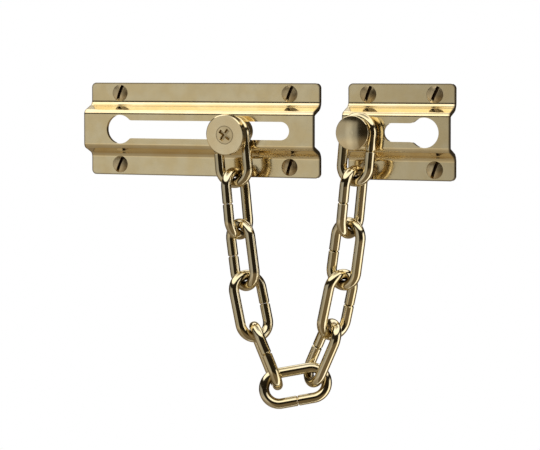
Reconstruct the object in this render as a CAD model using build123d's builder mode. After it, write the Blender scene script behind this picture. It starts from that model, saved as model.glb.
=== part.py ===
from build123d import *
from math import asin, atan2, cos, degrees, hypot, radians, sin, tan
import os

# Door chain: a long track plate with a keyhole slot, a short keeper plate with a riveted stud,
# and a chain of eleven links, each bent from round wire with its ends butted together, between
# the runner in the slot and the stud.
# Frame: the door's face is the plane y = 0, the viewer is on the -Y side, +Z is up, and the
# origin is the middle of the track plate's four screws on the door's face. Sizes are in mm,
# angles in degrees.

# The two pressed plates share one hat-shaped section. Bend radii are those inside the bend: at
# the foot of each slope, and under its shoulder.
sheet = 1.8
plate_height = 38.0
plate_rise = 9.0
raised_width = 14.8
flange_width = 8.8
foot_bend_radius = 2.25
shoulder_bend_radius = 0.5
corner_radius = 2.0
track_length = 101.6
keeper_length = 44.2
plates_gap = 12.1

# Keyholes: a round entry that the runner's rear flange passes, and a slot that holds it. The
# corner between the two is rounded, more so in the keeper.
keyhole_radius = 5.9
slot_width = 7.3
track_keyhole_from_end = 16.3
track_slot_end_margin = 10.3
track_keyhole_blend = 1.6
keeper_keyhole_from_end = 10.3
keeper_slot_start = 17.2
keeper_keyhole_blend = 3.0

# Countersunk raised-head wood screws, one pattern on each plate.
screw_edge_margin = 4.3
track_screw_margin = 13.0
keeper_screw_margin = 8.3
screw_head_diameter = 6.8
screw_shank_diameter = 3.2
screw_hole_diameter = 3.6
screw_length = 19.0
screw_point_length = 5.0
screw_slot_width = 1.3
screw_slot_depth = 0.9
screw_dome = 0.6
countersink_angle = 90.0
seat_gap = 0.04

# The runner: a turned spool in the track's slot, closed by a disc and a cross-recess screw.
runner_rest_x = 16.6
runner_droop = 4.5
runner_neck_diameter = 5.6
runner_flange_diameter = 11.0
runner_flange_thickness = 4.6
runner_head_diameter = 16.2
runner_head_thickness = 3.5
runner_head_gap = 1.25
runner_edge = 0.35
runner_screw_diameter = 7.4
runner_screw_thread = 3.4
runner_screw_length = 11.0
runner_bore_clearance = 0.5
recess_width = 1.5
recess_span = 5.4
recess_depth = 1.2
recess_taper = 20.0
recess_turn = 38.0
slide_gap = 0.12
flange_gap = 0.25

# The keeper's stud: a domed head with a tapered back, a neck for the last link, and a riveted
# tail behind the sheet.
stud_from_end = 8.1
stud_neck_diameter = 7.0
stud_head_diameter = 13.4
stud_head_back_diameter = 11.0
stud_head_thickness = 3.4
stud_head_dome = 0.8
stud_head_land = 0.8
stud_head_edge = 0.25
stud_head_gap = 2.6
stud_shank_diameter = 5.0
stud_tail_diameter = 8.4
stud_tail_face_diameter = 5.9
stud_tail_thickness = 1.5

# The chain's links, and how far each end link hangs clear of its plate.
wire = 4.15
link_length = 29.2
link_width = 16.2
seam_gap = 0.06
seam_chamfer = 0.42
link_play = 0.22
runner_link_gap = 0.45
stud_link_gap = 1.3

# How the chain hangs at rest: the tilt, yaw and roll of its lowest link, how far round its left
# and right bows that link is carried, and each link's turn about its own length, from the
# runner down and from the stud down. Zero is flat against the plates.
low_tilt = 10.5
low_yaw = 20.8
low_roll = 74.3
low_left_bow_angle = 12.8
low_right_bow_angle = 28.0
low_left_play = 0.34
low_right_play = 1.4
low_right_side_shift = 0.3
runner_side_turns = [0, 75, -27, 47, 121]
keeper_side_turns = [-9, 76, -17, 60, -43]
links_per_side = 5
# The leg that holds each link's seam: 1 or -1 across the link, from link 1 to link 11.
seam_sides = [-1, -1, -1, 1, -1, -1, -1, 1, -1, -1, 1]

# The search for the pull that closes the hanging loop: where it starts, its step and its turns.
first_pull = 0.36
first_share = 0.5
search_step = 1e-4
search_turns = 20
# How far a cutting tool starts outside the metal.
cut_margin = 1.0

# Planes and places that follow from the sizes.
face_y = -plate_rise
track_left = -track_length / 2
track_right = track_length / 2
keeper_left = track_right + plates_gap
keeper_right = keeper_left + keeper_length
bow_radius = (link_width - wire) / 2
bow_offset = link_length / 2 - wire / 2 - bow_radius
runner_link_y = face_y - runner_link_gap - wire / 2
stud_link_y = face_y - stud_link_gap - wire / 2
runner_head_y = runner_link_y - wire / 2 - runner_head_gap
stud_head_y = stud_link_y - wire / 2 - stud_head_gap
stud_x = keeper_left + stud_from_end
runner_neck_z = runner_neck_diameter / 2 - slot_width / 2 + slide_gap
slot_middle_y = face_y + sheet / 2
screw_row_spacing = plate_height - 2 * screw_edge_margin
countersink_slope = tan(radians(countersink_angle / 2))

os.makedirs("parts", exist_ok=True)


def save(part, name):
    """Label a finished piece and write it under its own name."""
    part.label = name
    export_step(part, f"parts/{name}.step")


def hat_outline(depth):
    """Corner points of the hat section's surface, depth mm behind its front, as (z, -y)."""
    slope_width = plate_height / 2 - flange_width - raised_width / 2
    slope_angle = atan2(plate_rise - sheet, slope_width)
    shift = depth * tan(slope_angle / 2)
    half = plate_height / 2
    raised = raised_width / 2 - shift
    foot = half - flange_width - shift
    low = sheet - depth
    high = plate_rise - depth
    return [(-half, low), (-foot, low), (-raised, high), (raised, high), (foot, low), (half, low)]


def pressed_plate(left, length, screw_margin, keyhole_x, slot_end_x, keyhole_blend):
    """One pressed plate with rounded corners, countersunk screw holes and a keyhole."""
    front_radii = [foot_bend_radius, shoulder_bend_radius + sheet]
    back_radii = [foot_bend_radius + sheet, shoulder_bend_radius]
    section_plane = Plane(origin=(left, 0, 0), x_dir=(0, 0, 1), z_dir=(1, 0, 0))
    with BuildPart() as plate:
        with BuildSketch(section_plane):
            with BuildLine():
                front = FilletPolyline(*hat_outline(0), radius=front_radii + front_radii[::-1])
                back = FilletPolyline(*hat_outline(sheet), radius=back_radii + back_radii[::-1])
                Line(front @ 0, back @ 0)
                Line(front @ 1, back @ 1)
            make_face()
        extrude(amount=length)
        corners = plate.edges().filter_by(Axis.Y).filter_by(lambda e: abs(e.length - sheet) < 1e-3)
        fillet(corners.filter_by(lambda e: abs(e.center().Z) > plate_height / 2 - 1e-3), corner_radius)
        with BuildSketch(Plane.XZ.offset(-face_y - sheet - cut_margin)) as keyhole:
            with Locations((keyhole_x, 0)):
                Circle(keyhole_radius)
            with Locations(((keyhole_x + slot_end_x) / 2, 0)):
                SlotCenterToCenter(abs(slot_end_x - keyhole_x), slot_width)
            slot_corners = keyhole.vertices().filter_by(
                lambda v: abs(abs(v.Y) - slot_width / 2) < 1e-3
            )
            fillet(slot_corners.sort_by(lambda v: abs(v.X - keyhole_x))[:2], keyhole_blend)
        extrude(amount=sheet + 2 * cut_margin, mode=Mode.SUBTRACT)
        flange_front = Plane(origin=(left + length / 2, -sheet, 0), x_dir=(1, 0, 0), z_dir=(0, -1, 0))
        with Locations(flange_front):
            with GridLocations(length - 2 * screw_margin, screw_row_spacing, 2, 2):
                CounterSinkHole(
                    screw_hole_diameter / 2,
                    screw_head_diameter / 2 + seat_gap,
                    counter_sink_angle=countersink_angle,
                )
    return plate.part


def wood_screw(x, z, slot_turn):
    """A slotted raised-head screw, seated in the flange, with its point behind the door face."""
    head_radius = screw_head_diameter / 2
    shank_radius = screw_shank_diameter / 2
    cone_depth = (head_radius - shank_radius) / countersink_slope
    axis_plane = Plane(origin=(x, -sheet, z), x_dir=(1, 0, 0), z_dir=(0, 0, 1))
    with BuildPart() as screw:
        with BuildSketch(axis_plane):
            with BuildLine():
                Line((0, -screw_dome), (0, screw_length))
                Line((0, screw_length), (shank_radius, screw_length - screw_point_length))
                Line((shank_radius, screw_length - screw_point_length), (shank_radius, cone_depth))
                Line((shank_radius, cone_depth), (head_radius, 0))
                TangentArc((0, -screw_dome), (head_radius, 0), tangent=(1, 0))
            make_face()
        revolve(axis=Axis((x, 0, z), (0, 1, 0)))
        slot_plane = Plane(origin=(x, -sheet - screw_dome, z), x_dir=(1, 0, 0), z_dir=(0, 1, 0))
        with BuildSketch(slot_plane):
            Rectangle(screw_slot_width, screw_head_diameter + cut_margin, rotation=slot_turn)
        extrude(amount=screw_dome + screw_slot_depth, mode=Mode.SUBTRACT)
    return screw.part


def up_vector(lean, swing):
    """The direction from a link's lower end to its upper end."""
    return Vector(sin(lean) * cos(swing), sin(swing), cos(lean) * cos(swing))


def hang_side(neck, neck_radius, leans, swing):
    """Centres and up directions of one side's links, hung one in another from a neck down."""
    drop = bow_radius - wire / 2 - neck_radius - link_play
    up = up_vector(leans[0], 0)
    top = neck - Vector(0, 0, drop) + up * bow_radius
    half = bow_offset + bow_radius
    placed = []
    for number, lean in enumerate(leans):
        if number > 0:
            last_up = up
            up = up_vector(lean, swing)
            lower_end = top - last_up * (2 * half)
            top = lower_end + (last_up + up).normalized() * (wire + link_play)
        placed.append((top - up * half, up))
    return placed


def carried_point(placed, play):
    """Where the lowest link's wire lies on the lower bow of a side's last link."""
    centre, up = placed[-1]
    return centre + up * (wire + play - bow_offset - bow_radius)


def strands(pull, share, swing):
    """Both hanging sides for a sideways pull and a share of the lowest link's weight."""
    steps = [links_per_side - 0.5 - n for n in range(links_per_side)]
    left_leans = [-atan2(pull, share + step) for step in steps]
    right_leans = [atan2(pull, 1 - share + step) for step in steps]
    neck_drop = tan(radians(runner_droop)) * (slot_middle_y - runner_link_y)
    runner_neck = Vector(runner_rest_x, runner_link_y, runner_neck_z - neck_drop)
    stud_neck = Vector(stud_x, stud_link_y, 0)
    left = hang_side(runner_neck, runner_neck_diameter / 2, left_leans, swing)
    right = hang_side(stud_neck, stud_neck_diameter / 2, right_leans, -swing)
    return left, right


def low_link_directions():
    """The lowest link's directions: along it to the right, and across it to its upper leg."""
    tilt, yaw, roll = radians(low_tilt), radians(low_yaw), radians(low_roll)
    along = Vector(cos(tilt) * cos(yaw), cos(tilt) * sin(yaw), sin(tilt))
    upright = Vector(-sin(yaw) * cos(roll), cos(yaw) * cos(roll), sin(roll))
    return along, (upright - along * upright.dot(along)).normalized()


def chain_places():
    """Every link's centre, up direction and turn, with the loop closed under its own weight."""
    along, across = low_link_directions()
    left_bow, right_bow = radians(low_left_bow_angle), radians(low_right_bow_angle)
    left_hold = across * (bow_radius * cos(left_bow)) - along * (
        bow_offset + bow_radius * sin(left_bow)
    )
    right_hold = across * (bow_radius * cos(right_bow)) + along * (
        bow_offset + bow_radius * sin(right_bow)
    )
    span = right_hold - left_hold
    hanging_depth = (links_per_side - 1) * (link_length - 2 * wire)
    side_shift = Vector(0, low_right_side_shift, 0)
    swung_apart = span.Y - low_right_side_shift - (stud_link_y - runner_link_y)
    swing = asin(swung_apart / 2 / hanging_depth)

    def miss(pull, share):
        left, right = strands(pull, share, swing)
        right_point = carried_point(right, low_right_play) + side_shift
        error = right_point - carried_point(left, low_left_play) - span
        return error.X, error.Z

    pull, share = first_pull, first_share
    for _ in range(search_turns):
        ex, ez = miss(pull, share)
        px, pz = miss(pull + search_step, share)
        sx, sz = miss(pull, share + search_step)
        a, b = (px - ex) / search_step, (sx - ex) / search_step
        c, d = (pz - ez) / search_step, (sz - ez) / search_step
        det = a * d - b * c
        pull -= (d * ex - b * ez) / det
        share -= (a * ez - c * ex) / det
    left, right = strands(pull, share, swing)
    low_middle = carried_point(left, low_left_play) - left_hold
    places = [
        (centre, up, Vector(cos(radians(turn)), sin(radians(turn)), 0))
        for (centre, up), turn in zip(left, runner_side_turns)
    ]
    places.append((low_middle, along * -1, across))
    places += [
        (centre, up, Vector(cos(radians(turn)), sin(radians(turn)), 0))
        for (centre, up), turn in reversed(list(zip(right, keeper_side_turns)))
    ]
    return places


def chain_link(centre, up, across, seam_side):
    """A link bent from one length of round wire, its two ends butted half way up one leg."""
    across = (across - up * across.dot(up)).normalized() * seam_side
    link_plane = Plane(origin=centre, x_dir=across, z_dir=across.cross(up))
    start = (bow_radius, seam_gap / 2)
    end = (bow_radius, -seam_gap / 2)
    with BuildPart() as link:
        with BuildLine(link_plane) as path:
            Line(start, (bow_radius, bow_offset))
            ThreePointArc(
                (bow_radius, bow_offset), (0, bow_offset + bow_radius), (-bow_radius, bow_offset)
            )
            Line((-bow_radius, bow_offset), (-bow_radius, -bow_offset))
            ThreePointArc(
                (-bow_radius, -bow_offset), (0, -bow_offset - bow_radius), (bow_radius, -bow_offset)
            )
            Line((bow_radius, -bow_offset), end)
        with BuildSketch(Plane(origin=path.line @ 0, z_dir=path.line % 0)):
            Circle(wire / 2)
        sweep()
        chamfer(link.edges().filter_by(GeomType.CIRCLE).sort_by_distance(path.line @ 0)[:2], seam_chamfer)
    return link.part


# The long track plate, with its round entry at the left and the slot running right.
track_keyhole_x = track_left + track_keyhole_from_end
track_slot_end_x = track_right - track_slot_end_margin - slot_width / 2
track_plate = pressed_plate(
    track_left,
    track_length,
    track_screw_margin,
    track_keyhole_x,
    track_slot_end_x,
    track_keyhole_blend,
)
save(track_plate, "track_plate")

# The short keeper plate: the same section, its keyhole turned round, and the stud's rivet hole.
keeper_keyhole_x = keeper_right - keeper_keyhole_from_end
keeper_slot_end_x = keeper_left + keeper_slot_start + slot_width / 2
with BuildPart() as keeper_plate:
    add(
        pressed_plate(
            keeper_left,
            keeper_length,
            keeper_screw_margin,
            keeper_keyhole_x,
            keeper_slot_end_x,
            keeper_keyhole_blend,
        )
    )
    with Locations(Plane(origin=(stud_x, face_y, 0), x_dir=(1, 0, 0), z_dir=(0, -1, 0))):
        Hole(stud_shank_diameter / 2 + seat_gap)
save(keeper_plate.part, "keeper_plate")

# The stud: a domed head, a neck that stands on the sheet, and a shank riveted over behind it.
stud_front_y = stud_head_y - stud_head_thickness
stud_rim_y = stud_front_y + stud_head_dome
with BuildPart() as keeper_stud:
    with BuildSketch(Plane(origin=(stud_x, 0, 0), x_dir=(1, 0, 0), z_dir=(0, 0, 1))):
        with BuildLine():
            TangentArc((0, stud_front_y), (stud_head_diameter / 2, stud_rim_y), tangent=(1, 0))
            Polyline(
                (stud_head_diameter / 2, stud_rim_y),
                (stud_head_diameter / 2, stud_rim_y + stud_head_land),
                (stud_head_back_diameter / 2, stud_head_y),
                (stud_neck_diameter / 2, stud_head_y),
                (stud_neck_diameter / 2, face_y),
                (stud_shank_diameter / 2, face_y),
                (stud_shank_diameter / 2, face_y + sheet),
                (stud_tail_diameter / 2, face_y + sheet),
                (stud_tail_face_diameter / 2, face_y + sheet + stud_tail_thickness),
                (0, face_y + sheet + stud_tail_thickness),
                (0, stud_front_y),
            )
        make_face()
    revolve(axis=Axis((stud_x, 0, 0), (0, 1, 0)))
    head_rims = keeper_stud.edges().filter_by(GeomType.CIRCLE).filter_by(
        lambda e: abs(e.radius - stud_head_diameter / 2) < 1e-3
    )
    fillet(head_rims, stud_head_edge)
save(keeper_stud.part, "keeper_stud")

# The runner's own plane: its axis droops towards the viewer under the chain's weight.
droop = radians(runner_droop)
runner_axis = Vector(0, cos(droop), sin(droop))
runner_origin = Vector(runner_rest_x, slot_middle_y, runner_neck_z)
runner_plane = Plane(origin=runner_origin, x_dir=(1, 0, 0), z_dir=Vector(1, 0, 0).cross(runner_axis))
runner_spin = Axis(runner_origin, runner_axis)
neck_front = runner_head_y - slot_middle_y
head_front = neck_front - runner_head_thickness
flange_front = sheet / 2 + flange_gap + runner_flange_diameter / 2 * sin(droop)
screw_seat = (runner_screw_diameter - runner_screw_thread) / 2 / countersink_slope
bore_end = head_front + runner_screw_length + runner_bore_clearance

# The spool: a thick flange behind the sheet and a neck through the slot, bored for the screw.
with BuildPart() as runner_body:
    with BuildSketch(runner_plane):
        with BuildLine():
            Polyline(
                (0, neck_front),
                (runner_neck_diameter / 2, neck_front),
                (runner_neck_diameter / 2, flange_front),
                (runner_flange_diameter / 2, flange_front),
                (runner_flange_diameter / 2, flange_front + runner_flange_thickness),
                (0, flange_front + runner_flange_thickness),
                close=True,
            )
        make_face()
    revolve(axis=runner_spin)
    flange_rims = runner_body.edges().filter_by(GeomType.CIRCLE).filter_by(
        lambda e: abs(e.radius - runner_flange_diameter / 2) < 1e-3
    )
    chamfer(flange_rims, runner_edge)
    with BuildSketch(runner_plane):
        with BuildLine():
            Polyline(
                (0, neck_front),
                (runner_screw_thread / 2 + seat_gap, neck_front),
                (runner_screw_thread / 2 + seat_gap, bore_end),
                (0, bore_end),
                close=True,
            )
        make_face()
    revolve(axis=runner_spin, mode=Mode.SUBTRACT)
save(runner_body.part, "runner_body")

# The disc that closes the runner in front of the first link, countersunk for its screw.
with BuildPart() as runner_head:
    with BuildSketch(runner_plane):
        with BuildLine():
            Polyline(
                (runner_screw_diameter / 2 + seat_gap, head_front),
                (runner_head_diameter / 2, head_front),
                (runner_head_diameter / 2, neck_front),
                (runner_screw_thread / 2 + seat_gap, neck_front),
                (runner_screw_thread / 2 + seat_gap, head_front + screw_seat),
                close=True,
            )
        make_face()
    revolve(axis=runner_spin)
    disc_rims = runner_head.edges().filter_by(GeomType.CIRCLE).filter_by(
        lambda e: abs(e.radius - runner_head_diameter / 2) < 1e-3
    )
    chamfer(disc_rims, runner_edge)
save(runner_head.part, "runner_head")

# The cross-recess screw, flush in the disc.
with BuildPart() as runner_screw:
    with BuildSketch(runner_plane):
        with BuildLine():
            Polyline(
                (0, head_front),
                (runner_screw_diameter / 2, head_front),
                (runner_screw_thread / 2, head_front + screw_seat),
                (runner_screw_thread / 2, head_front + runner_screw_length),
                (0, head_front + runner_screw_length),
                close=True,
            )
        make_face()
    revolve(axis=runner_spin)
    recess_plane = Plane(
        origin=runner_origin + runner_axis * head_front, x_dir=(1, 0, 0), z_dir=runner_axis
    )
    with BuildSketch(recess_plane):
        with Locations(Rotation(0, 0, recess_turn)):
            Rectangle(recess_width, recess_span)
            Rectangle(recess_span, recess_width)
    extrude(amount=recess_depth, taper=recess_taper, mode=Mode.SUBTRACT)
save(runner_screw.part, "runner_screw")

# Eight wood screws, each turned as it was left when driven home.
track_screw_x = track_length / 2 - track_screw_margin
keeper_screw_x = keeper_length / 2 - keeper_screw_margin
keeper_middle = (keeper_left + keeper_right) / 2
screw_z = screw_row_spacing / 2
screws = {
    "track_screw_upper_left": (-track_screw_x, screw_z, 20),
    "track_screw_lower_left": (-track_screw_x, -screw_z, 24),
    "track_screw_upper_right": (track_screw_x, screw_z, 22),
    "track_screw_lower_right": (track_screw_x, -screw_z, 18),
    "keeper_screw_upper_left": (keeper_middle - keeper_screw_x, screw_z, 20),
    "keeper_screw_lower_left": (keeper_middle - keeper_screw_x, -screw_z, 26),
    "keeper_screw_upper_right": (keeper_middle + keeper_screw_x, screw_z, 24),
    "keeper_screw_lower_right": (keeper_middle + keeper_screw_x, -screw_z, 20),
}
for name, (x, z, slot_turn) in screws.items():
    save(wood_screw(x, z, slot_turn), name)

# The eleven links, from the runner (1) round to the stud (11).
links = chain_places()
for number, ((centre, up, across), seam_side) in enumerate(zip(links, seam_sides), start=1):
    save(chain_link(centre, up, across, seam_side), f"chain_link_{number:02d}")
    lean = degrees(atan2(up.X, up.Z))
    print(f"link {number}: centre {centre.X:.2f} {centre.Y:.2f} {centre.Z:.2f} lean {lean:.1f}")
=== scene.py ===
import math

import bpy
import numpy as np
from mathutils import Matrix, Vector

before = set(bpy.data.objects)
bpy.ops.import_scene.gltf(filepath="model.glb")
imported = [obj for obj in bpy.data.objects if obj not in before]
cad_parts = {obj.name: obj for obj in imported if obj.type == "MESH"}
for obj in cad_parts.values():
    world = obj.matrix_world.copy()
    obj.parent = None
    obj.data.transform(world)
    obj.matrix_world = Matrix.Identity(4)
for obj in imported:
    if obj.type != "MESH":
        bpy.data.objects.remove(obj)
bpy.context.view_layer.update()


# Track plate and keeper plate: two lengths of one pressed brass section, polished and
# lacquered, then drilled and slotted. The rolled sheet keeps a faint grain along its length
# and a slightly uneven mirror, so reflections in it are soft.
MM = 0.001
plate_half_height = 19.0
plate_corner = 2.0
plate_middles_and_half_lengths = {"track_plate": (0.0, 50.8), "keeper_plate": (85.0, 22.1)}
# The dark brown of painted shade in slots, recesses, bends and between links.
tarnish = (0.07, 0.045, 0.025)


class Socket:
    """One socket of a node tree. Operators add Math nodes, and node() adds any other node."""

    def __init__(self, tree, socket=None):
        self.tree = tree
        self.socket = socket

    def node(self, kind, settings, sockets, output=0):
        """Add a node: first its settings, then the values or links of its sockets."""
        made = self.tree.nodes.new(kind)
        for name, value in settings.items():
            setattr(made, name, value)
        for name, value in sockets.items():
            if isinstance(value, Socket):
                self.tree.links.new(value.socket, made.inputs[name])
            else:
                made.inputs[name].default_value = value
        return Socket(self.tree, made.outputs[output] if len(made.outputs) else None)

    def calc(self, operation, other=0.0):
        """A Math node on this socket and, where the operation takes two, another value."""
        return self.node("ShaderNodeMath", {"operation": operation}, {0: self, 1: other})

    def __add__(self, other):
        return self.calc("ADD", other)

    __radd__ = __add__

    def __sub__(self, other):
        return self.calc("SUBTRACT", other)

    def __rsub__(self, other):
        return self.node("ShaderNodeMath", {"operation": "SUBTRACT"}, {0: other, 1: self})

    def __mul__(self, other):
        return self.calc("MULTIPLY", other)

    __rmul__ = __mul__

    def step(self, low, high):
        """0 below low, 1 above high, and a smooth rise between them."""
        return self.node(
            "ShaderNodeMapRange",
            {"interpolation_type": "SMOOTHSTEP"},
            {"Value": self, "From Min": low, "From Max": high},
        )


def empty_tree(owner):
    """The node tree of a material or a world, with nothing in it."""
    owner.use_nodes = True
    owner.node_tree.nodes.clear()
    return owner.node_tree


def object_place(tree, stretch=(1.0, 1.0, 1.0)):
    """Object coordinates in millimetres, stretched along the axes."""
    place = Socket(tree).node("ShaderNodeTexCoord", {}, {}, "Object")
    scale = tuple(s / MM for s in stretch)
    return place.node("ShaderNodeMapping", {}, {"Vector": place, "Scale": scale})


def noise(place, scale, detail):
    """Soft noise from 0 to 1, with its grains about 1/scale mm across."""
    return place.node(
        "ShaderNodeTexNoise", {}, {"Vector": place, "Scale": scale, "Detail": detail}, "Fac"
    )


def axis(place, index):
    """One coordinate of a place or a direction: 0, 1 and 2 are x, y and z."""
    return place.node("ShaderNodeSeparateXYZ", {}, {0: place}, index)


def mixed_colour(share, first, second):
    """The first colour where share is 0, and the second where it is 1."""
    return share.node(
        "ShaderNodeMix", {"data_type": "RGBA"}, {0: share, 6: first, 7: second}, 2
    )


def brass(
    name, tints, roughness, waves, lines, grain=(1.0, 1.0, 1.0), painted_shade=None, lacquer=0.0, crown=None
):
    """Polished brass: two close tints in soft patches over an uneven mirror with fine lines.

    Roughness goes from the brightest to the dullest patch. Waves are given by how many lie in
    a millimetre and by their height, and lines by their height alone, both in millimetres;
    the grain stretches the lines along an axis where it is under 1. The shade function tells,
    from 0 to 1, where painted shade darkens the metal. The crown is the x and z of a
    dome's top, where the metal is shaded as flat and square to the viewer's side.
    """
    material = bpy.data.materials.new(name)
    place = object_place(empty_tree(material))
    patches = noise(place, scale=0.12, detail=3.0).step(0.35, 0.65)
    tint = mixed_colour(patches, (*tints[0], 1.0), (*tints[1], 1.0))
    dull = noise(place, scale=0.35, detail=4.0).step(0.3, 0.7)
    if painted_shade:
        shade_share = painted_shade(place)
        # Painted shade: the tint turns dark brown where the shade function is high.
        tint = mixed_colour(shade_share, tint, (*tarnish, 1.0))
        dull = dull + shade_share
    wave = noise(place, scale=waves[0], detail=2.0)
    line = noise(object_place(place.tree, grain), scale=6.0, detail=3.0)
    height = wave * waves[1] + line * lines
    normal = place.node(
        "ShaderNodeBump", {}, {"Height": height, "Distance": MM, "Strength": 1.0}
    )
    if crown:
        x = axis(place, 0) - crown[0]
        z = axis(place, 2) - crown[1]
        square = place.node(
            "ShaderNodeVectorTransform",
            {"vector_type": "NORMAL", "convert_from": "OBJECT", "convert_to": "WORLD"},
            {0: (0.0, -1.0, 0.0)},
        )
        off_top = (x * x + z * z).calc("SQRT").step(0.6, 1.0)
        normal = place.node(
            "ShaderNodeMix", {"data_type": "VECTOR"}, {0: off_top, 4: square, 5: normal}, 1
        )
    surface = place.node(
        "ShaderNodeBsdfPrincipled",
        {},
        {
            "Base Color": tint,
            "Metallic": 1.0,
            "Coat Weight": lacquer,
            "Coat Roughness": 0.04,
            "Roughness": roughness[0] + dull * (roughness[1] - roughness[0]),
            "Normal": normal,
        },
    )
    surface.node("ShaderNodeOutputMaterial", {}, {"Surface": surface})
    return material


def finish_cad(names, material):
    """Give CAD nodes their finish."""
    for name in names:
        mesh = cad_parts[name].data
        mesh.materials.clear()
        mesh.materials.append(material)


def edges_and_ledge(middle, half_length):
    """Painted shade on a plate: a dark line in the bend of its top ledge, and darkening at the rim
    of its rounded outline.
    """

    def painted_shade(place):
        along = (axis(place, 0) - middle).calc("ABSOLUTE")
        across = axis(place, 2).calc("ABSOLUTE")
        past_x = (along - (half_length - plate_corner)).calc("MAXIMUM", 0.0)
        past_z = (across - (plate_half_height - plate_corner)).calc("MAXIMUM", 0.0)
        reach = (past_x * past_x + past_z * past_z).calc("SQRT")
        rim = reach.step(plate_corner - 0.65, plate_corner - 0.1) * 0.8
        up = axis(place, 2)
        ledge = up.step(11.0, 11.25) * (1 - up.step(11.45, 11.8)) * 0.55
        return rim.calc("MAXIMUM", ledge)

    return painted_shade


for name, (middle, half_length) in plate_middles_and_half_lengths.items():
    sheet_brass = brass(
        "sheet_brass_of_" + name,
        tints=((0.88, 0.74, 0.44), (0.85, 0.68, 0.36)),
        roughness=(0.11, 0.17),
        waves=(0.45, 0.006),
        lines=0.0006,
        grain=(0.05, 1.0, 1.0),
        painted_shade=edges_and_ledge(middle, half_length),
        lacquer=0.7,
    )
    finish_cad((name,), sheet_brass)


# Runner and stud: turned from bar and polished. The runner's disc is faced flat, and the
# stud's head is polished to a soft dome.
turned_brass = brass(
    "turned_brass",
    tints=((0.87, 0.75, 0.48), (0.84, 0.69, 0.41)),
    roughness=(0.11, 0.17),
    waves=(0.8, 0.002),
    lines=0.0004,
)
finish_cad(("runner_head", "runner_body"), turned_brass)
stud_centre = (71.0, 0.0)
stud_brass = brass(
    "turned_stud_brass",
    tints=((0.84, 0.72, 0.46), (0.81, 0.66, 0.39)),
    roughness=(0.1, 0.16),
    waves=(0.8, 0.002),
    lines=0.0004,
    crown=stud_centre,
)
finish_cad(("keeper_stud",), stud_brass)


# Runner's screw: a cross-recess screw of the same brass, flush in the disc, with painted
# shade in its seam and in the recess.
runner_screw_centre = (16.6, -1.53)
runner_tilt = 0.07


def seam_and_recess(place):
    """Painted shade in the seam round the screw's head, and in its recess behind the disc's face.
    """
    x = axis(place, 0) - runner_screw_centre[0]
    z = axis(place, 2) - runner_screw_centre[1]
    seam = (x * x + z * z).calc("SQRT").step(3.2, 3.6) * 0.5
    recess = (axis(place, 1) + z * runner_tilt).step(-18.1, -16.9) * 0.4
    return seam + recess


recess_brass = brass(
    "cross_recess_brass",
    tints=((0.84, 0.71, 0.44), (0.72, 0.58, 0.33)),
    roughness=(0.14, 0.24),
    waves=(1.0, 0.012),
    lines=0.0006,
    painted_shade=seam_and_recess,
)
finish_cad(("runner_screw",), recess_brass)


# Wood screws: eight slotted raised-head screws in plainer, darker brass, with painted shade
# in their slots and round their rims.
def slots_and_rims(place):
    """Painted shade below the crown of the head: full in the slot, thin at the rim, none on the
    shank.
    """
    depth = axis(place, 1)
    return depth.step(-2.0, -1.2) * (1 - depth.step(-0.6, 0.2))


screw_brass = brass(
    "screw_brass",
    tints=((0.86, 0.7, 0.42), (0.68, 0.52, 0.28)),
    roughness=(0.28, 0.42),
    waves=(1.2, 0.02),
    lines=0.001,
    painted_shade=slots_and_rims,
)
wood_screws = [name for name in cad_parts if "screw" in name and name != "runner_screw"]
finish_cad(wood_screws, screw_brass)


# Chain: eleven links bent from drawn brass wire, barrel polished after bending. Each is
# butted, not soldered, half way up one leg, and shade is painted inside the bows, where the
# neighbouring links meet.
link_wire = 4.0


def shaded_bows(mesh):
    """Painted shade round the inside of both bows of a link, found from the link's own mesh.

    The link's long axis is the direction in which its points spread most. Half its length less
    the wire's thickness, both ways from its middle, are the two places where neighbours touch.
    """
    points = np.array([vertex.co for vertex in mesh.vertices]) / MM
    axes = np.linalg.eigh(np.cov(points.T))[1]
    spread = (points - points.mean(axis=0)) @ axes
    middle = points.mean(axis=0) + axes @ ((spread.min(axis=0) + spread.max(axis=0)) / 2)
    reach = axes[:, 2] * (np.ptp(spread[:, 2]) / 2 - link_wire)

    def painted_shade(place):
        unshaded = 1.0
        for contact in (middle - reach, middle + reach):
            away = place.node(
                "ShaderNodeVectorMath",
                {"operation": "DISTANCE"},
                {0: place, 1: tuple(contact.tolist())},
                "Value",
            )
            unshaded = unshaded * away.step(1.6, 4.4)
        return (1 - unshaded) * 0.6

    return painted_shade


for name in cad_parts:
    if name.startswith("chain_link"):
        wire_brass = brass(
            "drawn_wire_brass_of_" + name,
            tints=((0.78, 0.675, 0.45), (0.75, 0.63, 0.375)),
            roughness=(0.06, 0.12),
            waves=(0.7, 0.004),
            lines=0.0004,
            painted_shade=shaded_bows(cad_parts[name].data),
        )
        finish_cad((name,), wire_brass)


# Floor: a plain pale sheet of card far below the hanging chain, small enough that the polished
# brass mirrors the room around it.
floor_height = -1.6
floor_half = 0.25
floor = bpy.data.objects.new("floor", bpy.data.meshes.new("floor"))
floor.data.from_pydata(
    [
        (-floor_half, -floor_half, floor_height),
        (floor_half, -floor_half, floor_height),
        (floor_half, floor_half, floor_height),
        (-floor_half, floor_half, floor_height),
    ],
    [],
    [(0, 1, 2, 3)],
)
bpy.context.scene.collection.objects.link(floor)
pale_card = bpy.data.materials.new("pale_floor")
matt = Socket(empty_tree(pale_card)).node(
    "ShaderNodeBsdfDiffuse", {}, {"Color": (0.7, 0.7, 0.69, 1.0)}
)
matt.node("ShaderNodeOutputMaterial", {}, {"Surface": matt})
floor.data.materials.append(pale_card)


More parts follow.
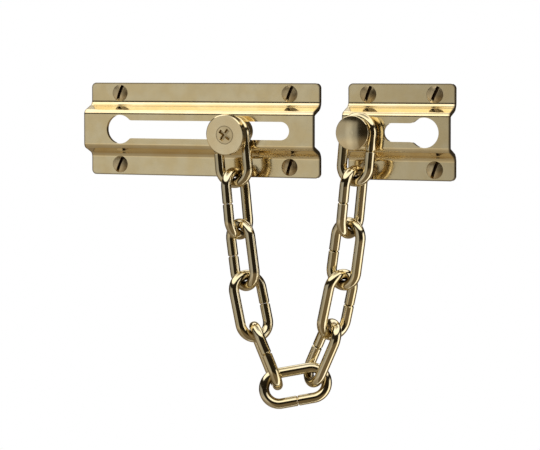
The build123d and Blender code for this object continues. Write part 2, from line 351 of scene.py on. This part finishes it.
# Studio light: a large soft box overhead, a tall soft box at the right, a grey card at the
# front left and black cloth between them. Behind the plates hangs a white backdrop, which the
# camera sees all round and the polished brass sees where it hangs.
studio = bpy.data.worlds.new("studio")
bpy.context.scene.world = studio
direction = Socket(empty_tree(studio)).node("ShaderNodeTexCoord", {}, {}, "Generated")
east, north, up = (axis(direction, index) for index in range(3))
degree = 180 / math.pi
# Height above the level, turn to the right from straight in front of the plates, both in
# degrees, and how nearly a direction is that of the backdrop's middle.
height = up.calc("ARCSINE") * degree
turn = east.calc("ARCTAN2", 0 - north) * degree
behind = east * -0.3827 + north * 0.9239
under = 1 - height.step(-34, -14)
# The grey card is brightest where the flat faces mirror it, and dimmer below the level.
grey = 0.28 + turn.step(-80, -40) * 0.12 + turn.step(-31, -28) * 0.13
grey = (grey - turn.step(-23, -15.5) * 0.22) * (1 - under * 0.6)
card = grey * (1 - turn.step(-13.5, -7.5)) * (1 - height.step(13, 18))
tall_box = turn.step(74, 79) * (1 - turn.step(114, 122)) * (1 - height.step(15, 25)) * 1.4
card_and_box_end = 1 - behind.step(0.22, 0.36) * height.step(-50, -40)
overhead = height.step(32, 38) * (1 - height.step(58, 75) * 0.65) * 1.55
overhead_end = 1 - behind.step(0.72, 0.8)
backdrop = behind.step(0.955, 0.965)
seen, glossy, transmitted = (
    direction.node("ShaderNodeLightPath", {}, {}, ray)
    for ray in ("Is Camera Ray", "Is Glossy Ray", "Is Transmission Ray")
)
light = (card + tall_box) * card_and_box_end + backdrop * (glossy + transmitted)
light = light + overhead * overhead_end
# The cloth is warm, and lighter behind the plates and below the level.
cloth = 0.02 + behind.step(0.5, 0.8) * 0.05 + (1 - height.step(-17, -4)) * 0.16
cloth_tint = (1.0, 0.78, 0.5)
room = direction.node(
    "ShaderNodeCombineXYZ",
    {},
    {index: seen + (1 - seen) * (light + cloth * tint) for index, tint in enumerate(cloth_tint)},
)
sky = direction.node("ShaderNodeBackground", {}, {"Color": room, "Strength": 1.0})
sky.node("ShaderNodeOutputWorld", {}, {"Surface": sky})


# Camera: the photograph's own place, to the right of the plates and level with them. The lens
# is shifted down, so that the hanging chain is in the picture and upright lines stay upright.
camera_turn = math.radians(22.525)
camera_rise = math.radians(1.661)
camera_distance = 0.8625
look_at = Vector((0.0292, 0.0, 0.0))
toward_camera = Vector(
    (
        math.sin(camera_turn) * math.cos(camera_rise),
        -math.cos(camera_turn) * math.cos(camera_rise),
        math.sin(camera_rise),
    )
)
lens = bpy.data.cameras.new("camera")
lens.lens = 142.8
lens.sensor_width = 36.0
lens.shift_x = -0.0026
lens.shift_y = -0.1754
lens.clip_start = 0.01
camera = bpy.data.objects.new("camera", lens)
camera.location = look_at + toward_camera * camera_distance
camera.rotation_euler = toward_camera.to_track_quat("Z", "Y").to_euler()
bpy.context.scene.collection.objects.link(camera)
bpy.context.scene.camera = camera
bpy.context.scene.view_settings.view_transform = "Standard"
